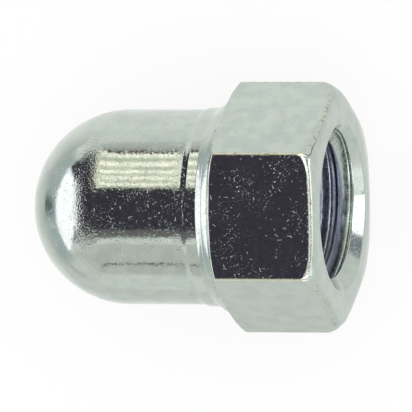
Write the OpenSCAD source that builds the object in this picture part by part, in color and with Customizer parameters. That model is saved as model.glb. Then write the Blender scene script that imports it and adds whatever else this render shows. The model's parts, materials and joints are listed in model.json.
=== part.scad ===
// Domed cap nut with a long round barrel: one solid steel blank, formed in one piece,
// with a blind threaded hole. Millimetres, +Z up.
//
// The blank is drawn along its own axis, with the bearing face at x = 0, the mouth of the
// hole towards +X and the dome towards -X. It is then laid on the plane z = 0 as it comes to
// rest: on the dome and on the barrel-side end of the lowest hexagon flat, with the mouth
// turned up a little. The origin is the middle of its bounding box's underside.

/* [Hexagon] */
// Width across the flats
across_flats = 14; // [14:0.1:16]
// Length of each flat along its middle, from the bearing face
flat_length = 7; // [5:0.05:8]
// Diameter of the flat bearing face
bearing_face_d = 13; // [12.6:0.1:13.4]
// Mean slope of the low chamfer round the bearing face, from that face
bearing_chamfer_deg = 8; // [7:0.5:20]
// Diameter at which the corners start to be broken more steeply at the bearing face
corner_break_d = 14.9; // [14.6:0.1:15.4]
// Mean slope of the broken corners, from the bearing face
corner_break_deg = 46; // [30:1:55]
// Diameter at which the corner chamfer starts at the barrel end
barrel_chamfer_d = 14.6; // [14.3:0.1:15.2]
// Mean slope of the corner chamfer at the barrel end, from the plane across the axis
barrel_chamfer_deg = 26; // [15:1:35]

/* [Shoulder] */
// Length of the rounded shoulder between the flats and the collar
shoulder_length = 1; // [0.7:0.05:1.2]
// Diameter of the shoulder where it meets the flats
shoulder_start_d = 13.9; // [13.7:0.02:13.98]
// Radius of the shoulder's rounding
shoulder_round_r = 3; // [2:0.1:5]

/* [Barrel and dome] */
// Diameter of the barrel and of the dome
barrel_d = 12.5; // [12.3:0.1:12.6]
// Diameter of the low collar at the foot of the barrel
collar_d = 12.74; // [12.7:0.02:12.9]
// Length of the collar
collar_length = 0.8; // [0.4:0.05:1.5]
// Length over which the collar drops to the barrel
collar_drop_length = 0.15; // [0.05:0.05:0.5]
// Length of the whole nut, from the bearing face to the top of the dome
overall_length = 20.3; // [19.5:0.1:24]

/* [Threaded hole] */
// Nominal diameter of the thread
thread_d = 10; // [8:1:10]
// Pitch of the thread
thread_pitch = 1.25; // [1:0.25:1.5]
// Depth of the straight wall, from the bearing face
wall_depth = 14; // [11:0.5:14.5]
// Point angle of the drill that made the hole
drill_point_deg = 118; // [110:1:140]
// Diameter of the countersink at the mouth
countersink_d = 10.8; // [10.2:0.1:11.6]
// Full angle of the countersink
countersink_deg = 90; // [80:1:120]

/* [Hidden] */
$fn = 96;

// Overlap of pieces that are joined, and run-out of pieces that are cut away
margin = 0.5;

corner_r = across_flats / sqrt(3);
inscribed_r = across_flats / 2;
shoulder_start_r = shoulder_start_d / 2;
barrel_r = barrel_d / 2;
collar_r = collar_d / 2;
bearing_face_r = bearing_face_d / 2;
corner_break_r = corner_break_d / 2;
barrel_chamfer_r = barrel_chamfer_d / 2;
// The plain hole is drawn at the thread's minor diameter, 1.0825 pitches under the nominal one
hole_r = (thread_d - 1.0825 * thread_pitch) / 2;
countersink_r = countersink_d / 2;

// Places along the axis, from the mouth to the dome
shoulder_end_x = -flat_length - shoulder_length;
collar_end_x = shoulder_end_x - collar_length;
dome_centre_x = -overall_length + barrel_r;
countersink_depth = (countersink_r - hole_r) / tan(countersink_deg / 2);
drill_point_depth = hole_r / tan(drill_point_deg / 2);

// Each chamfer is slightly crowned: it is part of a ball whose centre is on the axis. The
// first starts at the rim of the bearing face, and the second where the first is at
// corner_break_r. The third starts on the end plane of the hexagon, on the barrel's side.
bearing_ball_r = (bearing_face_r + corner_break_r) / 2 / sin(bearing_chamfer_deg);
bearing_ball_x = -ball_reach(bearing_ball_r, bearing_face_r);
corner_ball_r = (corner_break_r + corner_r) / 2 / sin(corner_break_deg);
corner_ball_x = bearing_ball_x + ball_reach(bearing_ball_r, corner_break_r)
    - ball_reach(corner_ball_r, corner_break_r);
barrel_ball_r = (barrel_chamfer_r + corner_r) / 2 / sin(barrel_chamfer_deg);
barrel_ball_x = -flat_length + ball_reach(barrel_ball_r, barrel_chamfer_r);

// The shoulder is an arc from the end of the flats to the collar; this is its centre
shoulder_fall = shoulder_start_r - collar_r;
shoulder_chord = norm([shoulder_length, shoulder_fall]);
shoulder_sink = sqrt(pow(shoulder_round_r, 2) - pow(shoulder_chord / 2, 2)) / shoulder_chord;
shoulder_arc_centre = [
    -flat_length - shoulder_length / 2 + shoulder_sink * shoulder_fall,
    (shoulder_start_r + collar_r) / 2 - shoulder_sink * shoulder_length
];

// At rest the floor touches the dome and the end of the lowest flat. Seen from the side, it
// is the line through the end of that flat that is tangent to the dome.
rest_span = norm([dome_centre_x + flat_length, inscribed_r]);
rest_tilt = atan2(inscribed_r, -dome_centre_x - flat_length) - asin(barrel_r / rest_span);
rest_height = barrel_r - dome_centre_x * sin(rest_tilt);
low_x = dome_centre_x * cos(rest_tilt) - barrel_r;
high_x = bearing_face_r * sin(rest_tilt);

// Distance along the axis from a ball's centre to the plane in which its radius is small_r
function ball_reach(ball_r, small_r) = sqrt(pow(ball_r, 2) - pow(small_r, 2));

// Half section of the form that the hexagon prism is cut to, with x along the nut's axis and
// y as the radius
module hexagon_envelope() {
    intersection() {
        translate([-flat_length, 0])
            square([flat_length, corner_r + margin]);
        translate([bearing_ball_x, 0])
            circle(r = bearing_ball_r);
        translate([corner_ball_x, 0])
            circle(r = corner_ball_r);
        translate([barrel_ball_x, 0])
            circle(r = barrel_ball_r);
    }
}

// Half section of the shoulder. It runs on inside the collar.
module shoulder_section() {
    intersection() {
        translate([shoulder_end_x - margin, 0])
            square([shoulder_length + margin, inscribed_r]);
        translate(shoulder_arc_centre)
            circle(r = shoulder_round_r);
    }
}

// Half section of the collar and its drop to the barrel. It runs on inside the hexagon.
module collar_section() {
    polygon([
        [-flat_length + margin, 0],
        [-flat_length + margin, collar_r],
        [collar_end_x, collar_r],
        [collar_end_x - collar_drop_length, barrel_r],
        [collar_end_x - collar_drop_length, 0]
    ]);
}

// Half section of the hole: countersink, straight wall and drill point
module hole_section() {
    polygon([
        [margin, 0],
        [margin, countersink_r + margin * tan(countersink_deg / 2)],
        [-countersink_depth, hole_r],
        [-wall_depth, hole_r],
        [-wall_depth - drill_point_depth, 0]
    ]);
}

// Turns a half section about the nut's axis, which runs along X
module turned() {
    rotate([0, 90, 0])
        rotate_extrude()
            rotate([0, 0, 90])
                mirror([0, 1])
                    children();
}

module hexagon() {
    intersection() {
        // Two flats face up and down, and two corners point along Y
        translate([shoulder_end_x - margin, 0, 0])
            rotate([0, 90, 0])
                rotate([0, 0, 30])
                    cylinder(r = corner_r, h = -shoulder_end_x + 2 * margin, $fn = 6);
        turned() hexagon_envelope();
    }
}

module barrel() {
    translate([dome_centre_x, 0, 0]) {
        rotate([0, 90, 0])
            cylinder(r = barrel_r, h = -dome_centre_x - flat_length);
        sphere(r = barrel_r);
    }
}

module blank() {
    difference() {
        union() {
            hexagon();
            turned() shoulder_section();
            turned() collar_section();
            barrel();
        }
        turned() hole_section();
    }
}

module cap_nut() {
    color([0.76, 0.79, 0.76])
        translate([-(low_x + high_x) / 2, 0, rest_height])
            rotate([0, -rest_tilt, 0])
                blank();
}

cap_nut();
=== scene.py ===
import json
from math import atan2, cos, exp, hypot, pi, radians, sin, sqrt, tan

import bpy
from bpy.props import (
    FloatProperty,
    FloatVectorProperty,
    PointerProperty,
)
from mathutils import Matrix, Vector


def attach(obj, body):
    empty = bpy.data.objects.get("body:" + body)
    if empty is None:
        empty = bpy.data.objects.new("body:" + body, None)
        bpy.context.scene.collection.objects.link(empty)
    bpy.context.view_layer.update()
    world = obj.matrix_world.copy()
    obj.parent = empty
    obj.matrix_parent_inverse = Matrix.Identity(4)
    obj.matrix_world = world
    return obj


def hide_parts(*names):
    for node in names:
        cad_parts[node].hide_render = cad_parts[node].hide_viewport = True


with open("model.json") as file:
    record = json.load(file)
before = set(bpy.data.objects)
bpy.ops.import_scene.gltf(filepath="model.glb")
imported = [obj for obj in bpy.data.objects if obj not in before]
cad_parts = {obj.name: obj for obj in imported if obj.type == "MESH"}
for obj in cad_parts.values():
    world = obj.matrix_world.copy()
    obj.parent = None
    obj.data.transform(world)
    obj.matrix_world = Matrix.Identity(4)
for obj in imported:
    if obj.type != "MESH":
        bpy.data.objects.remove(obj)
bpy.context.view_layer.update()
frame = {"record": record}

bl_info = {
    "name": "Domed Cap Nut",
    "version": (1, 0, 0),
    "blender": (4, 5, 0),
    "location": "View3D > Sidebar > Cap Nut",
    "description": "Builds a zinc-plated domed cap nut with a cut thread, and its studio",
    "category": "Add Mesh",
}

MOUNTS = {mount["name"]: mount for mount in frame["record"]["mounts"]}

MM_PER_METRE = 1000

# What the material reads from the mesh: each point's place on the nut's own axes, in
# millimetres, and how worn it is
NUT_PLACE = "nut_place"
EDGE_WEAR = "edge_wear"


# ---------------------------------------------------------------- placing


def mount_point(name):
    """Place of one of the nut's mounts."""
    return Vector(MOUNTS[name]["pos_m"])


def mount_axis(name):
    """Direction in which one of the nut's mounts faces."""
    return Vector(MOUNTS[name]["axis"]).normalized()


def nut_placement():
    """The nut's own axes in the row frame: X out of the mouth, Z out of the upper flat, and
    the origin in the middle of the bearing face."""
    along = mount_axis("bearing_face")
    upward = mount_axis("wrench_flat_upper")
    across = upward.cross(along)
    placement = Matrix((along, across, upward)).transposed().to_4x4()
    placement.translation = mount_point("bearing_face")
    return placement


def measured_across_flats():
    """Width of the hexagon, between the mounts on its upper and lower flats."""
    gap = mount_point("wrench_flat_upper") - mount_point("wrench_flat_lower")
    return gap.dot(mount_axis("wrench_flat_upper"))


# ---------------------------------------------------------------- settings


class CapNutSizes(bpy.types.PropertyGroup):
    """Sizes of the nut"""

    across_flats: FloatProperty(
        name="Across Flats",
        description="Width of the hexagon from flat to flat",
        default=measured_across_flats(),
        unit="LENGTH",
    )
    flat_length: FloatProperty(
        name="Flat Length",
        description="Length of each flat along its middle",
        default=0.0070,
        unit="LENGTH",
    )
    bearing_face_d: FloatProperty(
        name="Bearing Face",
        description="Diameter of the flat bearing face",
        default=0.0130,
        unit="LENGTH",
    )
    barrel_d: FloatProperty(
        name="Barrel",
        description="Diameter of the barrel and the dome",
        default=0.0125,
        unit="LENGTH",
    )
    collar_d: FloatProperty(
        name="Collar",
        description="Diameter of the low collar at the foot of the barrel",
        default=0.01274,
        unit="LENGTH",
    )
    overall_length: FloatProperty(
        name="Overall Length",
        description="Length from the bearing face to the top of the dome",
        default=0.02029,
        unit="LENGTH",
    )
    thread_d: FloatProperty(
        name="Thread",
        description="Nominal diameter of the thread",
        default=0.010,
        unit="LENGTH",
    )
    minor_r: FloatProperty(
        name="Thread Minor Radius",
        description="Radius at the crests of the thread",
        default=MOUNTS["thread"]["dims"]["r_mm"] / MM_PER_METRE,
        unit="LENGTH",
    )
    pitch: FloatProperty(
        name="Pitch",
        description="Pitch of the right-hand thread",
        default=0.00125,
        unit="LENGTH",
    )
    countersink_d: FloatProperty(
        name="Countersink",
        description="Diameter of the 90 degree countersink at the mouth",
        default=0.0108,
        unit="LENGTH",
    )
    edge_round: FloatProperty(
        name="Edge Rounding",
        description="Radius of the hexagon's worn edges",
        default=0.00022,
        unit="LENGTH",
    )
    thread_start: FloatProperty(
        name="Thread Start",
        description="Angle at which the thread's crest runs out of the countersink",
        default=radians(4),
        subtype="ANGLE",
    )


class ZincFinish(bpy.types.PropertyGroup):
    """Finish of the zinc plate"""

    tint: FloatVectorProperty(
        name="Tint",
        description="Colour of the plated metal",
        subtype="COLOR",
        size=3,
        min=0,
        max=1,
        default=(0.53, 0.595, 0.535),
    )
    # Painted shade: the bluer colour laid deep inside the hole
    hole_shade_tint: FloatVectorProperty(
        name="Hole Tint",
        description="Colour of the thinner plate inside the hole",
        subtype="COLOR",
        size=3,
        min=0,
        max=1,
        default=(0.53, 0.56, 0.63),
    )
    gloss_roughness: FloatProperty(
        name="Roughness",
        description="Roughness of the bright plate",
        default=0.07,
        min=0.0,
        max=1.0,
        subtype="FACTOR",
    )


class StudioSettings(bpy.types.PropertyGroup):
    """Camera, floor and light"""

    camera_distance: FloatProperty(
        name="Camera Distance",
        description="Distance of the camera from the nut",
        default=1.0,
        unit="LENGTH",
    )
    picture_width: FloatProperty(
        name="Picture Width",
        description="Width of the picture at the nut's distance",
        default=0.02633,
        unit="LENGTH",
    )
    lean_to_mouth: FloatProperty(
        name="Lean To Mouth",
        description="Angle by which the camera leans from the upper flat's normal to the mouth",
        default=radians(16.16),
        subtype="ANGLE",
    )
    lean_to_side: FloatProperty(
        name="Lean To Side",
        description="Angle by which the camera leans from the upper flat's normal to its side",
        default=radians(5.1),
        subtype="ANGLE",
    )
    camera_roll: FloatProperty(
        name="Camera Roll",
        description="Roll of the camera about its own line of sight",
        default=radians(0.21),
        subtype="ANGLE",
    )
    floor_size: FloatProperty(
        name="Floor Size",
        description="Side of the square floor",
        default=0.06,
        unit="LENGTH",
    )
    floor_colour: FloatVectorProperty(
        name="Floor",
        description="Colour of the floor",
        subtype="COLOR",
        size=3,
        min=0,
        max=1,
        default=(0.2, 0.2, 0.2),
    )


# ---------------------------------------------------------------- mesh


def arc_points(centre, radius, start, end, count):
    """Points on an arc of a section, with angles in radians."""
    found = []
    for i in range(count + 1):
        angle = start + (end - start) * i / count
        found.append((centre[0] + radius * cos(angle), centre[1] + radius * sin(angle)))
    return found


def softened(value_at, place, reach):
    """Mean of the values within reach of a place, the nearer ones counting for more."""
    total = weights = 0.0
    for i in range(-4, 5):
        weight = 5 - abs(i)
        total += weight * value_at(place + reach * i / 4)
        weights += weight
    return total / weights


class Skin:
    """Collects the rings of a closed skin, the faces between them, and each point's wear."""

    def __init__(self):
        self.points = []
        self.wear = []
        self.faces = []

    def ring(self, points, wear=()):
        """New points of the skin, as their numbers."""
        start = len(self.points)
        self.points += [tuple(p) for p in points]
        self.wear += list(wear) or [0.0] * len(points)
        return list(range(start, len(self.points)))

    def turned_ring(self, x, radius, turns):
        """A round ring about the nut's axis."""
        return self.ring([(x, radius * cos(turn), radius * sin(turn)) for turn in turns])

    def join(self, one, two):
        """Faces between two rings of equal count."""
        count = len(one)
        for i in range(count):
            k = (i + 1) % count
            self.faces.append((one[i], one[k], two[k], two[i]))

    def zip(self, one, two, turns_one, turns_two):
        """Triangles between two rings of unequal counts, by their points' angles."""
        i = j = 0
        while i < len(one) or j < len(two):
            next_one = turns_one[i + 1] if i + 1 < len(one) else turns_one[0] + 2 * pi
            next_two = turns_two[j + 1] if j + 1 < len(two) else turns_two[0] + 2 * pi
            a, b = one[i % len(one)], two[j % len(two)]
            if j >= len(two) or (i < len(one) and next_one <= next_two):
                i += 1
                self.faces.append((a, one[i % len(one)], b))
            else:
                j += 1
                self.faces.append((a, two[j % len(two)], b))

    def close(self, ring, tip):
        """Triangles from a ring to the one point that closes it."""
        count = len(ring)
        for i in range(count):
            self.faces.append((ring[i], ring[(i + 1) % count], tip))


# ---------------------------------------------------------------- the nut's outside

# Chamfers round the bearing face: slopes as depth over radius, where the steep one starts,
# how far they are turned off the hexagon's axis, towards the upper flat, half the width of the
# bends between them, and how far to each side the edge between them and the flats is softened
FACE_SLOPE = tan(radians(8))
CORNER_SLOPE = tan(radians(46))
CORNER_BREAK_R = 0.00745
CHAMFER_OFFSET = 0.0002
FACE_BEND = 0.00015
MOUTH_EDGE = 0.00036

# Chamfer of the corners at the barrel end, part of a ball centred on the axis
BARREL_CHAMFER_R = 0.0073
BARREL_BALL_R = 0.01755

# Shoulder from the flats to the collar: round, then hollow at its foot, with a fine groove
# between, at a share of its length. Its slope at both ends is given as fall over length, and
# it is steepest at the groove.
SHOULDER_LENGTH = 0.001
SHOULDER_START_R = 0.00695
SHOULDER_GROOVE = 0.58
SHOULDER_END_SLOPE = 0.46
SHOULDER_GROOVE_DEPTH = 0.000012
SHOULDER_GROOVE_WIDTH = 0.00003

# The collar's drop to the barrel
COLLAR_LENGTH = 0.0006
COLLAR_DROP_LENGTH = 0.0005

# Width of the wear along the hexagon's edges, and how strong it is round the mouth and at the
# barrel end, where 1 is that of the lengthwise edges. Round the mouth it lies on the flats,
# this far from their edge.
WEAR_WIDTH = 0.00012
MOUTH_WEAR = 0.6
BARREL_WEAR = 0.5
MOUTH_WEAR_PLACE = 0.00014

# How far the edges at the barrel end, and those of the collar, are softened, and how far past
# the flats the hexagon's end still reaches
FORGED_SOFTNESS = 0.00012
COLLAR_SOFTNESS = 0.00002
FORGED_REACH = 0.0002

# Each corner of a flat is dubbed off beyond a quarter circle of this radius, by this many times
# the square of the distance beyond it
DUB_R = 0.00045
DUB_DEPTH = 3000.0

# Lengthwise lines of the skin: their places across a flat, from its edge to its middle, as
# shares of its width, and how many go round a corner
NEAR_CORNER = (0, 0.006, 0.013, 0.021, 0.031, 0.043, 0.058, 0.09, 0.16, 0.26, 0.38)
CORNER_LINES = 7

# Rows of the skin: how many there are on the bearing face, its chamfers, the edge of the flats
# and the dome, their places on a flat as shares of its length, and the step on the barrel
FACE_ROWS = 4
CHAMFER_ROWS = 12
EDGE_ROWS = 6
DOME_ROWS = 44
FLAT_ROWS = (0, 0.012, 0.025, 0.04, 0.056, 0.075, 0.11, 0.22, 0.42, 0.62, 0.8, 0.9, 0.95)
BARREL_STEP = 0.0005

# Lengths at which the rows' spacing changes: from the countersink to the first row, from
# where the rows close up to the end of the flats, to each side of the groove and of the
# shoulder's foot, and to each side of the collar's drop
RIM_WIDTH = 0.00012
FLAT_END_REACH = 0.0005
GROOVE_REACH = 0.00008
DROP_REACH = 0.00005


def hexagon_columns(apothem, rounding):
    """(angle, radius, place across the flat) of each lengthwise line of the hexagon, whose
    corners are rounded."""
    centre_r = (apothem - rounding) / cos(pi / 6)
    half_flat = (apothem - rounding) * tan(pi / 6)
    spread = NEAR_CORNER + (0.5,) + tuple(1 - share for share in NEAR_CORNER[:0:-1])
    local = [(half_flat * (2 * share - 1), apothem) for share in spread]
    for i in range(CORNER_LINES):
        normal = pi / 3 * i / CORNER_LINES
        across = centre_r * sin(pi / 6) + rounding * sin(normal)
        out = centre_r * cos(pi / 6) + rounding * cos(normal)
        local.append((across, out))
    columns = []
    for flat in range(6):
        middle = pi / 6 + flat * pi / 3
        for across, out in local:
            columns.append((middle + atan2(across, out), hypot(across, out), abs(across)))
    return columns


def soft_rise(value, low, high):
    """0 below low, a straight climb beyond high, and a smooth bend between them."""
    if value <= low:
        return 0.0
    if value >= high:
        return value - (low + high) / 2
    return (value - low) ** 2 / (2 * (high - low))


def face_depth(sizes, radius):
    """Place along the axis of the bearing face and its chamfers at a radius about their own
    axis."""
    face_r = sizes.bearing_face_d / 2
    low = soft_rise(radius, face_r - FACE_BEND, face_r + FACE_BEND)
    steep = soft_rise(radius, CORNER_BREAK_R - FACE_BEND, CORNER_BREAK_R + FACE_BEND)
    return -FACE_SLOPE * low - (CORNER_SLOPE - FACE_SLOPE) * steep


def closeness(distance):
    """1 on an edge, falling to 0 over the width of the wear."""
    return exp(-((distance / WEAR_WIDTH) ** 2))


class Outline:
    """Outside radius of the nut along one lengthwise line of it. The hexagon's prism is prism_r
    from the axis there, the line is as far as across from the middle of its flat, and the
    chamfers round the bearing face are shifted outward by lift."""

    def __init__(self, sizes, prism_r, across, lift):
        self.sizes = sizes
        self.prism_r = prism_r
        self.across = across
        self.half_flat = sizes.across_flats / 2 * tan(pi / 6)
        self.flat_end = -sizes.flat_length
        self.shoulder_end = self.flat_end - SHOULDER_LENGTH
        self.collar_end = self.shoulder_end - COLLAR_LENGTH
        self.ball_x = self.flat_end + sqrt(BARREL_BALL_R**2 - BARREL_CHAMFER_R**2)
        self.mouth_end = face_depth(sizes, prism_r - lift)
        self.barrel_edge = self.ball_x - sqrt(BARREL_BALL_R**2 - prism_r**2)

    def flat_r(self, x):
        """Radius of the prism, with the corners of its flats dubbed off."""
        beyond_across = max(0.0, self.across - self.half_flat + DUB_R)
        to_mouth = x - self.mouth_end + DUB_R
        to_barrel = self.flat_end + DUB_R - x
        beyond_along = max(0.0, to_mouth, to_barrel)
        beyond = max(0.0, hypot(beyond_across, beyond_along) - DUB_R)
        return self.prism_r - DUB_DEPTH * beyond**2

    def shoulder_r(self, share):
        """Radius of the shoulder at a share of its length, from the flats to the collar."""
        fall = SHOULDER_START_R - self.sizes.collar_d / 2
        end_fall = SHOULDER_END_SLOPE * SHOULDER_LENGTH
        # Round as far as the groove, then hollow, so that the whole fall is met
        bend = 2 * (fall - end_fall)
        if share < SHOULDER_GROOVE:
            fallen = end_fall * share + bend * share**2 / (2 * SHOULDER_GROOVE)
        else:
            left = 1 - share
            fallen = fall - end_fall * left - bend * left**2 / (2 * (1 - SHOULDER_GROOVE))
        across_groove = (share - SHOULDER_GROOVE) * SHOULDER_LENGTH / SHOULDER_GROOVE_WIDTH
        groove = SHOULDER_GROOVE_DEPTH * exp(-(across_groove**2))
        return SHOULDER_START_R - fallen - groove

    def sharp_r(self, x):
        """Outside radius at x before the edges are softened."""
        if x >= self.flat_end:
            chamfer_r = sqrt(BARREL_BALL_R**2 - (self.ball_x - x) ** 2)
            return max(SHOULDER_START_R, min(self.flat_r(x), chamfer_r))
        if x >= self.shoulder_end:
            return self.shoulder_r((self.flat_end - x) / SHOULDER_LENGTH)
        collar_r, barrel_r = self.sizes.collar_d / 2, self.sizes.barrel_d / 2
        drop = min(1.0, max(0.0, (self.collar_end - x) / COLLAR_DROP_LENGTH))
        return collar_r + (barrel_r - collar_r) * drop**2 * (3 - 2 * drop)

    def radius(self, x):
        """Outside radius at x with softened edges."""
        on_hexagon = x > self.flat_end - FORGED_SOFTNESS
        return softened(self.sharp_r, x, FORGED_SOFTNESS if on_hexagon else COLLAR_SOFTNESS)

    def wear(self, x):
        """How worn the surface is at x, from 1 on an edge of the hexagon to 0 away from it."""
        if x < self.flat_end - FORGED_REACH:
            return 0.0
        past_mouth = max(0.0, x - self.mouth_end)
        along = closeness(self.half_flat - self.across) * closeness(past_mouth)
        at_mouth = MOUTH_WEAR * closeness(x - self.mouth_end + MOUTH_WEAR_PLACE)
        at_barrel = BARREL_WEAR * closeness(x - self.barrel_edge)
        return max(along, at_mouth, at_barrel)


def spaced(start, end, step):
    """Evenly spaced places from start down to just before end."""
    count = max(1, round((start - end) / step))
    return [start + (end - start) * i / count for i in range(count)]


def mouth_end_points(sizes, outline, lift):
    """Points (along the axis, radius) of the bearing face, its chamfers and the softened edge
    between them and the flat."""
    rim_r = sizes.countersink_d / 2 + RIM_WIDTH
    inner = sizes.bearing_face_d / 2 - FACE_BEND + lift
    outer = outline.prism_r - MOUTH_EDGE
    points = [(0.0, rim_r + (inner - rim_r) * i / FACE_ROWS) for i in range(FACE_ROWS)]
    for i in range(CHAMFER_ROWS):
        radius = inner + (outer - inner) * i / CHAMFER_ROWS
        points.append((face_depth(sizes, radius - lift), radius))
    start = Vector((face_depth(sizes, outer - lift), outer))
    corner = Vector((outline.mouth_end, outline.flat_r(outline.mouth_end)))
    flat_start = outline.mouth_end - MOUTH_EDGE
    end = Vector((flat_start, outline.flat_r(flat_start)))
    for i in range(EDGE_ROWS):
        t = i / EDGE_ROWS
        points.append(start.lerp(corner, t).lerp(corner.lerp(end, t), t))
    return points


def forged_rows(outline, drop_end):
    """Places along the axis from the start of a flat to the barrel, closer set where the
    outline bends."""
    start = outline.mouth_end - MOUTH_EDGE
    end = outline.flat_end + FLAT_END_REACH
    rows = [start + (end - start) * share for share in FLAT_ROWS]
    groove_x = outline.flat_end - SHOULDER_GROOVE * SHOULDER_LENGTH
    # Where each stretch of rows ends, and the step between them in it
    stretches = (
        (outline.flat_end - FORGED_REACH, 0.00003),
        (groove_x + GROOVE_REACH, 0.00007),
        (groove_x - GROOVE_REACH, 0.000013),
        (outline.shoulder_end + GROOVE_REACH, 0.00007),
        (outline.shoulder_end - GROOVE_REACH, 0.00002),
        (outline.collar_end + DROP_REACH, 0.0002),
        (drop_end, 0.00003),
    )
    for stretch_end, step in stretches:
        rows += spaced(end, stretch_end, step)
        end = stretch_end
    return rows


def skin_section(sizes, turn, prism_r, across):
    """Half section of the outside from the bearing face to the dome, as points (along the
    axis, radius, wear), where the hexagon prism is prism_r from the axis."""
    lift = CHAMFER_OFFSET * sin(turn)
    outline = Outline(sizes, prism_r, across, lift)
    points = mouth_end_points(sizes, outline, lift)
    drop_end = outline.collar_end - COLLAR_DROP_LENGTH - DROP_REACH
    points += [(x, outline.radius(x)) for x in forged_rows(outline, drop_end)]
    barrel_r = sizes.barrel_d / 2
    dome_x = -sizes.overall_length + barrel_r
    points += [(x, barrel_r) for x in spaced(drop_end, dome_x, BARREL_STEP)]
    points += arc_points((dome_x, 0), barrel_r, pi / 2, pi, DOME_ROWS)[:-1]
    return [(x, radius, outline.wear(x)) for x, radius in points]


# ---------------------------------------------------------------- the hole

# Points round the hole, and the rows of one pitch of the thread
HOLE_COLUMNS = 144
THREAD_ROWS = 26

# Softened lip of the countersink: its size, and its rings' places along the axis and outward
# from it, as shares of that size
MOUTH_LIP = 0.00003
ROUNDED_LIP = ((0, 2.4), (0, 1), (-0.29, 0.29))

# The thread: widths of its crest and root, and how far its edges are softened, as shares of
# the pitch
CREST_SHARE = 1 / 4
ROOT_SHARE = 1 / 8
THREAD_SOFTNESS = 0.12

# How long the thread takes to run out, and the plain wall under its end
RUN_OUT_LENGTH = 0.0016
PLAIN_WALL = 0.0003

# Points of the thread this near to the mouth, or to the thread's end, are joined to the ring
# there
LIP_REACH = 0.000045
END_REACH = 0.00002

# The first turn of the thread opens towards the mouth: from where, and its slope
FLARE_START = -0.0014
FLARE_SLOPE = 0.1

# The drilled end: its point's angle, and the radii of its rings as shares of the hole's
DRILL_ANGLE = radians(118)
DRILL_RINGS = (0.98, 0.7, 0.4, 0.15)


def thread_pitch_profile(sizes):
    """One pitch of the thread as (share of the pitch, radius), from crest to crest, with its
    edges softened."""
    minor, major = sizes.minor_r, sizes.thread_d / 2

    def sharp(share):
        """Radius at a share of the pitch before the edges are softened."""
        from_crest = abs((share + 0.5) % 1.0 - 0.5)
        flank = (from_crest - CREST_SHARE / 2) / (0.5 - CREST_SHARE / 2 - ROOT_SHARE / 2)
        return minor + (major - minor) * min(1.0, max(0.0, flank))

    shares = [i / THREAD_ROWS for i in range(THREAD_ROWS)]
    return [(share, softened(sharp, share, THREAD_SOFTNESS)) for share in shares]


def build_skin(sizes):
    """The closed skin of the whole nut: its outside, and the hole from the mouth inwards."""
    skin = Skin()
    columns = hexagon_columns(sizes.across_flats / 2, sizes.edge_round)
    sections = [skin_section(sizes, turn, r, across) for turn, r, across in columns]
    turns = [turn for turn, _, _ in columns]
    rings = []
    for row in zip(*sections):
        points = [(x, r * cos(turn), r * sin(turn)) for turn, (x, r, _) in zip(turns, row)]
        rings.append(skin.ring(points, [wear for _, _, wear in row]))
    for one, two in zip(rings, rings[1:]):
        skin.join(two, one)
    tip = skin.ring([(-sizes.overall_length, 0, 0)])[0]
    skin.close(rings[-1][::-1], tip)
    build_hole(skin, sizes, rings[0], turns)
    return skin


def build_hole(skin, sizes, rim, rim_turns):
    """Countersink, cut thread with its run-out, and the drilled end of the hole."""
    minor, mouth_r = sizes.minor_r, sizes.countersink_d / 2
    turns = [2 * pi * j / HOLE_COLUMNS for j in range(HOLE_COLUMNS)]
    rings = []
    for depth, outward in ROUNDED_LIP:
        rings.append(skin.turned_ring(depth * MOUTH_LIP, mouth_r + outward * MOUTH_LIP, turns))
    skin.zip(rim, rings[0], rim_turns, turns)
    rings.append(skin.turned_ring(-MOUTH_LIP, mouth_r - MOUTH_LIP, turns))
    for one, two in zip(rings, rings[1:]):
        skin.join(one, two)
    # The straight wall starts under the countersink, which is as deep as it is wide
    wall_end = -(MOUNTS["thread"]["dims"]["length_mm"] / MM_PER_METRE + mouth_r - minor)
    thread_end = wall_end + PLAIN_WALL
    bottom = skin.turned_ring(thread_end, minor, turns)
    build_thread(skin, sizes, rings[-1], bottom, turns, thread_end)
    last = skin.turned_ring(wall_end, minor, turns)
    skin.join(bottom, last)
    for share in DRILL_RINGS:
        x = wall_end - minor * (1 - share) / tan(DRILL_ANGLE / 2)
        ring = skin.turned_ring(x, minor * share, turns)
        skin.join(last, ring)
        last = ring
    tip = skin.ring([(wall_end - minor / tan(DRILL_ANGLE / 2), 0, 0)])[0]
    skin.close(last, tip)


def build_thread(skin, sizes, top, bottom, turns, thread_end):
    """A grid that follows the helix from the countersink to the end of the thread. Its rows
    run on into the next turn, so one turn round the hole moves a point down by one pitch."""
    minor, mouth_r, pitch = sizes.minor_r, sizes.countersink_d / 2, sizes.pitch
    profile = thread_pitch_profile(sizes)
    rows = int(THREAD_ROWS * (-thread_end / pitch + 2)) + 1
    grid = []
    for j, turn in enumerate(turns):
        column = []
        shift = pitch * (turn + sizes.thread_start) / (2 * pi)
        for k in range(rows + 1):
            share, radius = profile[k % THREAD_ROWS]
            x = shift - pitch * (k // THREAD_ROWS + share)
            fade = min(1.0, max(0.0, (x - thread_end) / RUN_OUT_LENGTH))
            flare = FLARE_SLOPE * max(0.0, x - FLARE_START)
            radius = max(minor + (radius - minor) * fade + flare, mouth_r + x)
            if x > -LIP_REACH:
                column.append(top[j])
            elif x < thread_end + END_REACH:
                column.append(bottom[j])
            else:
                place = (x, radius * cos(turn), radius * sin(turn))
                column.append(skin.ring([place])[0])
        grid.append(column)

    def at(j, k):
        """Point of the grid. Past the last column it is the first one's, a pitch further on."""
        if j < HOLE_COLUMNS:
            return grid[j][k]
        return grid[0][k - THREAD_ROWS] if k >= THREAD_ROWS else top[0]

    for j in range(HOLE_COLUMNS):
        for k in range(rows):
            corners = [at(j, k), at(j + 1, k), at(j + 1, k + 1), at(j, k + 1)]
            kept = [c for i, c in enumerate(corners) if c != corners[i - 1]]
            if len(set(kept)) >= 3:
                skin.faces.append(tuple(kept))


# ---------------------------------------------------------------- material

WHITE = (1.0, 1.0, 1.0, 1.0)
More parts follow.
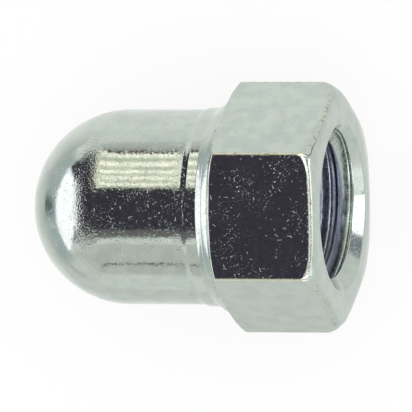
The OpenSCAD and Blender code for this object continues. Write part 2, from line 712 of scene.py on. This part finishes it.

# Colours of the plate: its bloom, painted shade deep in the hole and in the first turn of the
# thread, its worn edges, cream partly as a painted highlight, and its brown specks and stains
BLOOM = (0.60, 0.58, 0.47, 1.0)
PAINTED_HOLE_SHADE = (0.25, 0.26, 0.30, 1.0)
FIRST_TURN_SHADE = (0.10, 0.12, 0.16, 1.0)
WORN_EDGE_AND_HIGHLIGHT = (0.74, 0.71, 0.54, 1.0)
BROWN_SPECK = (0.24, 0.20, 0.15, 1.0)
STAIN = (0.36, 0.25, 0.18, 1.0)

# The plate is cloudy between these shares of its tint
LIGHT_SHARE = (1.035, 1.035, 1.035)
DARK_SHARE = (0.93, 0.94, 0.96)

# Pits of three sizes: cells a millimetre with at most one pit each, the pits' radius and depth
# in millimetres, and the share of cells that have none
PITS = ((2.9, 0.055, 0.016, 0.60), (5.5, 0.032, 0.010, 0.55), (9.0, 0.022, 0.006, 0.60))

# Short curved scratches: bends a millimetre, and where their noise is taken
SCRATCHES = ((1.1, 5.0), (1.7, 21.0))


class Nodes:
    """Short ways to add and link shader nodes."""

    def __init__(self, tree):
        self.tree = tree
        tree.nodes.clear()

    def feed(self, socket, value):
        """Link a node's output to a socket, or set the socket to a value."""
        if isinstance(value, bpy.types.NodeSocket):
            self.tree.links.new(value, socket)
        else:
            socket.default_value = value

    def add(self, kind, inputs=None, **settings):
        """A new node, with its settings and inputs."""
        node = self.tree.nodes.new(kind)
        for name, value in settings.items():
            setattr(node, name, value)
        for name, value in (inputs or {}).items():
            self.feed(node.inputs[name], value)
        return node

    def math(self, operation, one, two=0.0):
        """Result of an operation on one or two values."""
        return self.add("ShaderNodeMath", {0: one, 1: two}, operation=operation).outputs[0]

    def plus(self, first, *others):
        """Sum of values."""
        for other in others:
            first = self.math("ADD", first, other)
        return first

    def times(self, first, *others):
        """Product of values."""
        for other in others:
            first = self.math("MULTIPLY", first, other)
        return first

    def ramp(self, value, low, high, start=0.0, end=1.0):
        """Smooth step of a value, which goes from start to end between low and high."""
        inputs = {"Value": value, "From Min": low, "From Max": high, "To Min": start, "To Max": end}
        node = self.add("ShaderNodeMapRange", inputs, interpolation_type="SMOOTHSTEP")
        return node.outputs["Result"]

    def window(self, value, low, high, soft):
        """1 between low and high, 0 outside, with soft edges."""
        rise = self.ramp(value, low - soft, low + soft)
        fall = self.ramp(value, high - soft, high + soft, 1.0, 0.0)
        return self.times(rise, fall)

    def noise(self, place, scale, detail, offset=0.0):
        """Noise around 0.5, with scale lumps a millimetre. An offset takes it from elsewhere."""
        if offset:
            shift = self.add("ShaderNodeVectorMath", {0: place, 1: (offset, offset, offset)})
            place = shift.outputs[0]
        inputs = {"Vector": place, "Scale": scale, "Detail": detail}
        return self.add("ShaderNodeTexNoise", inputs).outputs["Fac"]

    def split(self, vector):
        """The three parts of a vector."""
        return self.add("ShaderNodeSeparateXYZ", {0: vector}).outputs

    def lay(self, under, over, *shares):
        """One colour laid over another, by the product of the shares."""
        node = self.add("ShaderNodeMix", data_type="RGBA")
        for index, value in ((0, self.times(*shares)), (6, under), (7, over)):
            self.feed(node.inputs[index], value)
        return node.outputs[2]


def zinc_material(finish):
    """Bright zinc plate over formed steel. Lengths in it are millimetres on the nut's axes."""
    material = bpy.data.materials.new("zinc_plate")
    material.use_nodes = True
    n = Nodes(material.node_tree)
    place = n.add("ShaderNodeAttribute", attribute_name=NUT_PLACE).outputs["Vector"]
    wear = n.add("ShaderNodeAttribute", attribute_name=EDGE_WEAR).outputs["Fac"]
    along, across, upward = n.split(place)
    radius = n.math("SQRT", n.plus(n.math("POWER", across, 2.0), n.math("POWER", upward, 2.0)))
    in_hole = n.times(n.ramp(radius, 5.1, 5.3, 1.0, 0.0), n.window(along, -16.8, -0.85, 0.1))
    gathering = n.noise(place, 0.6, 1.0, offset=11.0)
    specks = edge_specks(n, place, wear)
    relief = zinc_relief(n, place, along, radius, gathering, in_hole, specks)
    bump = n.add("ShaderNodeBump", {"Height": relief, "Strength": 1.0, "Distance": 0.001})
    inputs = {
        "Base Color": zinc_colour(n, finish, place, along, in_hole, wear, specks),
        "Metallic": 1.0,
        "Roughness": zinc_roughness(n, finish, place, gathering, in_hole, wear),
        "Normal": bump.outputs[0],
    }
    shader = n.add("ShaderNodeBsdfPrincipled", inputs)
    n.add("ShaderNodeOutputMaterial", {"Surface": shader.outputs[0]})
    return material


def edge_specks(n, place, wear):
    """Specks along worn edges, from 0 to 1."""
    specks = n.ramp(n.noise(place, 4.0, 4.0), 0.52, 0.58)
    patches = n.ramp(n.noise(place, 0.45, 1.0, offset=9.0), 0.40, 0.56, 0.15, 1.0)
    return n.times(specks, patches, n.ramp(wear, 0.1, 0.6))


def zinc_colour(n, finish, place, along, in_hole, wear, specks):
    """The plate's tint, cloudy and with a yellowish bloom, with painted shade that makes it bluer
    and darker inside the hole.
    """
    light = [part * share for part, share in zip(finish.tint, LIGHT_SHARE)] + [1.0]
    dark = [part * share for part, share in zip(finish.tint, DARK_SHARE)] + [1.0]
    colour = n.lay(light, dark, n.ramp(n.noise(place, 0.9, 4.0), 0.38, 0.62))
    bloom = n.ramp(n.noise(place, 2.3, 2.0, offset=7.0), 0.56, 0.72, 0.0, 0.35)
    colour = n.lay(colour, BLOOM, bloom)
    # Painted shade: a bluer colour deep in the hole
    in_thread = n.times(in_hole, n.ramp(along, -1.30, -1.10, 1.0, 0.0))
    colour = n.lay(colour, list(finish.hole_shade_tint) + [1.0], in_thread)
    # Painted shade: darker further into the hole, and dark in the first turn of the thread
    colour = n.lay(colour, PAINTED_HOLE_SHADE, in_thread, n.ramp(along, -2.75, -2.35, 1.0, 0.0))
    colour = n.lay(colour, FIRST_TURN_SHADE, in_thread, n.window(along, -1.66, -1.24, 0.10), 0.9)
    # Along the edges the plate is worn: cream, partly as a painted highlight, with brown specks
    colour = n.lay(colour, WORN_EDGE_AND_HIGHLIGHT, n.ramp(wear, 0.2, 0.9, 0.0, 0.7))
    colour = n.lay(colour, BROWN_SPECK, specks, 0.6)
    stains = n.ramp(n.noise(place, 4.0, 3.0, offset=3.0), 0.66, 0.76)
    return n.lay(colour, STAIN, stains, 0.2)


def zinc_roughness(n, finish, place, gathering, in_hole, wear):
    """Roughness of the plate: glossy, but duller in the hole, along worn edges and in spots."""
    gloss = finish.gloss_roughness
    plain = n.ramp(n.noise(place, 3.0, 3.0), 0.35, 0.7, gloss, gloss + 0.06)
    dull_spots = n.ramp(n.noise(place, 7.0, 3.0, offset=31.0), 0.56, 0.69, 0.0, 0.42)
    gathered = n.ramp(gathering, 0.40, 0.60, 0.25, 0.85)
    return n.plus(plain, n.times(in_hole, 0.2), n.times(wear, 0.2), n.times(dull_spots, gathered))


def zinc_relief(n, place, along, radius, gathering, in_hole, specks):
    """Height of the plate's surface, in millimetres."""
    swell = n.times(n.noise(place, 0.7, 1.0), 0.012)
    ripple = n.times(n.noise(place, 5.0, 2.0), 0.004)
    pits = zinc_pits(n, place, gathering)
    scratches = zinc_scratches(n, place)
    # Grainy bands where the barrel runs into the dome and, weaker, behind the collar
    behind_collar = n.times(n.window(along, -9.6, -8.9, 0.15), 0.35)
    bands = n.plus(n.window(along, -15.9, -14.6, 0.3), behind_collar)
    grain = n.times(n.noise(place, 8.0, 2.0, offset=15.0), 0.024, bands)
    # Turning marks round the hole's mouth and on the shoulder
    inputs = {"W": n.plus(radius, along), "Scale": 9.0}
    rings = n.add("ShaderNodeTexNoise", inputs, noise_dimensions="1D").outputs["Fac"]
    turned = n.math("MAXIMUM", n.ramp(along, -0.9, -0.4), n.window(along, -8.0, -7.1, 0.1))
    marks = n.times(rings, 0.0015, turned)
    # The tap has left the thread uneven
    torn = n.times(n.noise(place, 1.5, 1.0, offset=19.0), 0.055, in_hole)
    dug = n.times(specks, -0.006)
    return n.plus(swell, ripple, *pits, *scratches, grain, marks, torn, dug)


def zinc_pits(n, place, gathering):
    """Heights of the pits of each size, gathered in places."""
    gathered = n.ramp(gathering, 0.42, 0.60, 0.25, 1.0)
    pits = []
    for cells, size, depth, share in PITS:
        pit = n.add("ShaderNodeTexVoronoi", {"Vector": place, "Scale": cells}).outputs
        lot = n.add("ShaderNodeSeparateColor", {0: pit["Color"]}).outputs[0]
        chosen = n.ramp(lot, share, share + 0.06)
        hollow = n.ramp(pit["Distance"], 0.0, size * cells, -depth, 0.0)
        pits.append(n.times(hollow, chosen, gathered))
    return pits


def zinc_scratches(n, place):
    """Heights of the short curved scratches, as broken contour lines of a noise."""
    scratches = []
    for scale, offset in SCRATCHES:
        line = n.math("SUBTRACT", n.noise(place, scale, 0.0, offset=offset), 0.5)
        groove = n.ramp(n.math("ABSOLUTE", line), 0.0, 0.016, -0.006, 0.0)
        broken = n.ramp(n.noise(place, 3.1, 1.0, offset=offset + 2.0), 0.60, 0.66)
        scratches.append(n.times(groove, broken))
    return scratches


# ---------------------------------------------------------------- the plated nut


class CAPNUT_OT_make_nut(bpy.types.Operator):
    """Make the plated nut in place of its plain solid"""

    bl_idname = "capnut.make_nut"
    bl_label = "Make Cap Nut"

    def execute(self, context):
        settings = context.scene
        skin = build_skin(settings.cap_nut_sizes)
        mesh = bpy.data.meshes.new("plated_cap_nut")
        mesh.from_pydata(skin.points, [], skin.faces)
        places = [MM_PER_METRE * c for point in skin.points for c in point]
        kept = mesh.attributes.new(NUT_PLACE, "FLOAT_VECTOR", "POINT")
        kept.data.foreach_set("vector", places)
        worn = mesh.attributes.new(EDGE_WEAR, "FLOAT", "POINT")
        worn.data.foreach_set("value", skin.wear)
        mesh.transform(nut_placement())
        mesh.validate()
        mesh.polygons.foreach_set("use_smooth", [True] * len(mesh.polygons))
        mesh.materials.append(zinc_material(settings.zinc_finish))
        nut = bpy.data.objects.new("plated_cap_nut", mesh)
        context.scene.collection.objects.link(nut)
        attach(nut, "root")
        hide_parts("cap_nut")
        return {"FINISHED"}


# ---------------------------------------------------------------- stage

# Brightness of the floor as the camera sees it, and as the nut mirrors it where shade is painted on
# it
FLOOR_BRIGHTNESS = 1.01
PAINTED_SHADE_BRIGHTNESS = 0.6

# Colours of the light tent: its wall from low to high, the wall across from the lamp, and a
# seam in it
TENT_LOW = (0.95, 0.95, 0.95, 1.0)
TENT_MIDDLE = (0.76, 0.76, 0.76, 1.0)
TENT_HIGH = (0.55, 0.53, 0.52, 1.0)
TENT_ACROSS = (0.76, 0.75, 0.735, 1.0)
SEAM = (0.14, 0.13, 0.13, 1.0)

# The opening overhead, and a beam and bright panes beside it
OPENING = (0.056, 0.046, 0.070, 1.0)
OPENING_EDGE = (0.20, 0.185, 0.20, 1.0)
PANE = (2.6, 2.6, 2.8, 1.0)
BEAM = (0.10, 0.10, 0.12, 1.0)
GRAY_WALL = (0.34, 0.36, 0.42, 1.0)

# The lamp: its slats, the gaps between them, and its frame. The slats follow a wave with this
# step, and this angle where the side-to-side place is 0.
SLAT = (1.8, 1.65, 1.5, 1.0)
SLAT_GAP = (0.76, 0.77, 0.64, 1.0)
LAMP_FRAME = (0.05, 0.03, 0.03, 1.0)
SLAT_STEP = 0.105
SLAT_START = -2.26

# The windows at the two ends of the nut, what is dark below and beside them, and a painted shadow
# of the nut below the one at the dome's end
DOME_WINDOW = (1.85, 1.75, 1.9, 1.0)
BELOW_WINDOW = (0.52, 0.58, 0.62, 1.0)
PAINTED_SHADE_BELOW_DOME = (0.14, 0.18, 0.20, 1.0)
MOUTH_WINDOW = (2.4, 2.3, 2.5, 1.0)
SIDE_WINDOW = (1.35, 1.35, 1.38, 1.0)
WINDOW_BAR = (0.45, 0.47, 0.5, 1.0)

# The camera aims this far to the right of the bearing face's middle, and above it, as it sees
# them. Its sensor's width is in millimetres.
AIM_RIGHT = -0.008736
AIM_UP = 0.00009
SENSOR_WIDTH = 36.0
CLIP_START = 0.05
CLIP_END = 10.0


def floor_material(studio):
    """Pale floor, with painted shade that makes what the nut mirrors of it a little darker on three
    sides.
    """
    material = bpy.data.materials.new("pale_floor")
    material.use_nodes = True
    n = Nodes(material.node_tree)
    plain = n.add("ShaderNodeBsdfDiffuse", {"Color": list(studio.floor_colour) + [1.0]})
    strength = FLOOR_BRIGHTNESS - studio.floor_colour[0]
    glow = n.add("ShaderNodeEmission", {"Color": WHITE, "Strength": strength})
    strength = PAINTED_SHADE_BRIGHTNESS - studio.floor_colour[0]
    dim = n.add("ShaderNodeEmission", {"Color": WHITE, "Strength": strength})
    x, y, _ = n.split(n.add("ShaderNodeNewGeometry").outputs["Position"])
    # Painted shade of the nut on the floor, seen only in the nut's reflections: on one side of it
    # and off its two ends
    near_side = n.ramp(y, -0.014, -0.004, 0.38, 0.0)
    dome_end = n.ramp(x, -0.030, -0.012, 0.8, 0.0)
    mouth_end = n.ramp(x, 0.009, 0.012, 0.0, 0.3)
    path = n.add("ShaderNodeLightPath").outputs
    painted_shade = n.math("MAXIMUM", n.math("MAXIMUM", near_side, dome_end), mouth_end)
    painted_shade = n.times(painted_shade, path["Is Glossy Ray"])
    light = n.add("ShaderNodeMixShader", {0: painted_shade, 1: glow.outputs[0], 2: dim.outputs[0]})
    lit = n.add("ShaderNodeAddShader", {0: plain.outputs[0], 1: light.outputs[0]})
    seen = n.math("MAXIMUM", path["Is Camera Ray"], path["Is Glossy Ray"])
    seen = n.math("MAXIMUM", seen, path["Is Transmission Ray"])
    shown = n.add("ShaderNodeMixShader", {0: seen, 1: plain.outputs[0], 2: lit.outputs[0]})
    n.add("ShaderNodeOutputMaterial", {"Surface": shown.outputs[0]})
    return material


def tent_wall(n, y, z):
    """The tent's wall, darker towards its top on the lamp's side, and across from it."""
    lamp_side = n.lay(TENT_LOW, TENT_MIDDLE, n.ramp(z, -0.02, 0.06))
    lamp_side = n.lay(lamp_side, TENT_HIGH, n.ramp(z, 0.04, 0.27))
    colour = n.lay(WHITE, lamp_side, n.ramp(y, 0.84, 0.90))
    far_side = n.lay(TENT_LOW, TENT_ACROSS, n.ramp(z, 0.08, 0.11))
    colour = n.lay(colour, far_side, n.ramp(y, -0.62, -0.58, 1.0, 0.0))
    return n.lay(colour, SEAM, n.window(y, -0.889, -0.873, 0.003), n.ramp(z, 0.15, 0.2))


def with_opening(n, colour, x, y, z):
    """A dark opening overhead, with a paler strip along its far edge."""
    dark = n.lay(OPENING, OPENING_EDGE, n.ramp(y, -0.37, -0.35, 1.0, 0.0))
    wide = n.window(y, -0.50, 0.86, 0.012)
    long = n.window(x, -0.835, 0.1, 0.02)
    return n.lay(colour, dark, wide, long, n.ramp(z, 0.05, 0.12))


def with_lamp(n, colour, x, y, z):
    """A warm slatted lamp, with a dark frame above it."""
    long = n.window(x, -0.455, 0.55, 0.008)
    angle = {0: y, 1: 2 * pi / SLAT_STEP, 2: SLAT_START}
    wave = n.add("ShaderNodeMath", angle, operation="MULTIPLY_ADD").outputs[0]
    slats = n.lay(SLAT_GAP, SLAT, n.ramp(n.math("SINE", wave), -0.8, 0.8))
    wide = n.window(y, 0.424, 0.912, 0.004)
    colour = n.lay(colour, slats, wide, long, n.ramp(z, 0.1, 0.15))
    narrow = n.window(y, 0.911, 0.929, 0.003)
    return n.lay(colour, LAMP_FRAME, narrow, long, n.ramp(z, 0.15, 0.2))


def with_dome_end(n, colour, x, y, z):
    """A window at the dome's end, darker below it, with a painted shadow of the nut there."""
    beyond = n.ramp(x, -0.835, -0.815, 1.0, 0.0)
    wide = n.window(y, -0.58, 0.52, 0.05)
    colour = n.lay(colour, DOME_WINDOW, beyond, wide, n.ramp(z, 0.03, 0.10))
    below = n.times(n.ramp(x, -0.8, -0.7, 1.0, 0.0), n.ramp(z, 0.03, 0.09, 1.0, 0.0))
    colour = n.lay(colour, BELOW_WINDOW, below, 0.8)
    # Painted shadow of the nut, mirrored in the dome below its window
    narrow = n.window(y, -0.09, 0.09, 0.10)
    return n.lay(colour, PAINTED_SHADE_BELOW_DOME, narrow, n.window(z, -0.42, -0.02, 0.12), below)


def with_mouth_end(n, colour, x, y, z):
    """Two windows at the mouth's end, with a gray bar between them."""
    wide = n.window(y, -0.17, 0.40, 0.02)
    high = n.window(z, 0.06, 0.34, 0.03)
    colour = n.lay(colour, MOUTH_WINDOW, n.ramp(x, 0.84, 0.88), wide, high)
    wide = n.window(y, -0.62, -0.20, 0.04)
    colour = n.lay(colour, SIDE_WINDOW, n.ramp(x, 0.5, 0.6), wide, n.ramp(z, 0.02, 0.08))
    return n.lay(colour, WINDOW_BAR, n.ramp(x, 0.8, 0.86), n.window(y, -0.205, -0.175, 0.01))


def with_overhead(n, colour, x, y, z):
    """Two bright panes and a dark beam overhead on the mouth's side, and a gray wall there."""
    panes = n.plus(n.window(y, -0.90, -0.48, 0.03), n.window(y, 0.0, 0.50, 0.02))
    colour = n.lay(colour, PANE, n.window(x, 0.14, 0.62, 0.03), panes, n.ramp(z, 0.25, 0.35))
    long = n.window(x, 0.66, 0.82, 0.02)
    wide = n.window(y, -0.4, 0.3, 0.03)
    colour = n.lay(colour, BEAM, long, wide, n.ramp(z, 0.4, 0.45))
    return n.lay(colour, GRAY_WALL, n.ramp(x, 0.4, 0.5), n.window(y, 0.42, 0.62, 0.03))


def studio_world():
    """A pale light tent with a dark opening overhead, a bright window at each end of the nut
    and a warm slatted lamp at one side. Places in it are direction cosines on the nut's axes."""
    world = bpy.data.worlds.new("light_tent")
    world.use_nodes = True
    n = Nodes(world.node_tree)
    way = n.add("ShaderNodeTexCoord").outputs["Generated"]
    axis = mount_axis("bearing_face")
    turn = {"Vector": way, "Angle": atan2(axis.z, axis.x)}
    turned = n.add("ShaderNodeVectorRotate", turn, rotation_type="Y_AXIS")
    x, y, z = n.split(turned.outputs[0])
    colour = tent_wall(n, y, z)
    for with_part in (with_opening, with_lamp, with_dome_end, with_mouth_end, with_overhead):
        colour = with_part(n, colour, x, y, z)
    # What only lights the floor is plain white
    colour = n.lay(WHITE, colour, n.add("ShaderNodeLightPath").outputs["Is Glossy Ray"])
    light = n.add("ShaderNodeBackground", {"Color": colour, "Strength": 1.0})
    n.add("ShaderNodeOutputWorld", {"Surface": light.outputs[0]})
    return world


def studio_camera(studio):
    """A camera that looks at the upper flat, leaning to the mouth and a little to the side."""
    placement = nut_placement()
    lean, side, roll = studio.lean_to_mouth, studio.lean_to_side, studio.camera_roll
    toward = Vector((sin(lean), cos(lean) * sin(side), cos(lean) * cos(side)))
    upward = Vector((0, cos(side), -sin(side)))
    upward = (upward - upward.dot(toward) * toward).normalized()
    right = upward.cross(toward)
    right, upward = (
        right * cos(roll) + upward * sin(roll),
        upward * cos(roll) - right * sin(roll),
    )
    aim = right * AIM_RIGHT + upward * AIM_UP
    data = bpy.data.cameras.new("studio_camera")
    data.sensor_width = SENSOR_WIDTH
    data.lens = SENSOR_WIDTH * studio.camera_distance / studio.picture_width
    data.clip_start = CLIP_START
    data.clip_end = CLIP_END
    camera = bpy.data.objects.new("studio_camera", data)
    turned = placement.to_3x3()
    basis = Matrix((turned @ right, turned @ upward, turned @ toward)).transposed()
    stand = placement @ (aim + toward * studio.camera_distance)
    camera.matrix_world = Matrix.Translation(stand) @ basis.to_4x4()
    return camera


class CAPNUT_OT_set_stage(bpy.types.Operator):
    """Set the floor, the light tent and the camera"""

    bl_idname = "capnut.set_stage"
    bl_label = "Set Stage"

    def execute(self, context):
        scene = context.scene
        studio = scene.cap_nut_studio
        half = studio.floor_size / 2
        mesh = bpy.data.meshes.new("floor")
        corners = [(-half, -half, 0), (half, -half, 0), (half, half, 0), (-half, half, 0)]
        mesh.from_pydata(corners, [], [(0, 1, 2, 3)])
        mesh.materials.append(floor_material(studio))
        floor = bpy.data.objects.new("floor", mesh)
        scene.collection.objects.link(floor)
        scene.world = studio_world()
        camera = studio_camera(studio)
        scene.collection.objects.link(camera)
        scene.camera = camera
        scene.view_settings.view_transform = "Standard"
        return {"FINISHED"}


class CAPNUT_PT_panel(bpy.types.Panel):
    """Sizes, finish and studio of the cap nut"""

    bl_label = "Cap Nut"
    bl_idname = "CAPNUT_PT_panel"
    bl_space_type = "VIEW_3D"
    bl_region_type = "UI"
    bl_category = "Cap Nut"

    def draw(self, context):
        layout = self.layout
        scene = context.scene
        for group in (scene.cap_nut_sizes, scene.zinc_finish, scene.cap_nut_studio):
            box = layout.box()
            for name in group.__annotations__:
                box.prop(group, name)
        layout.operator("capnut.make_nut")
        layout.operator("capnut.set_stage")


CLASSES = (
    CapNutSizes,
    ZincFinish,
    StudioSettings,
    CAPNUT_OT_make_nut,
    CAPNUT_OT_set_stage,
    CAPNUT_PT_panel,
)


def register():
    for cls in CLASSES:
        bpy.utils.register_class(cls)
    bpy.types.Scene.cap_nut_sizes = PointerProperty(type=CapNutSizes)
    bpy.types.Scene.zinc_finish = PointerProperty(type=ZincFinish)
    bpy.types.Scene.cap_nut_studio = PointerProperty(type=StudioSettings)


def unregister():
    del bpy.types.Scene.cap_nut_studio
    del bpy.types.Scene.zinc_finish
    del bpy.types.Scene.cap_nut_sizes
    for cls in reversed(CLASSES):
        bpy.utils.unregister_class(cls)


def main():
    """Make the nut and its stage."""
    register()
    bpy.ops.capnut.make_nut()
    bpy.ops.capnut.set_stage()


if __name__ == "__main__":
    main()
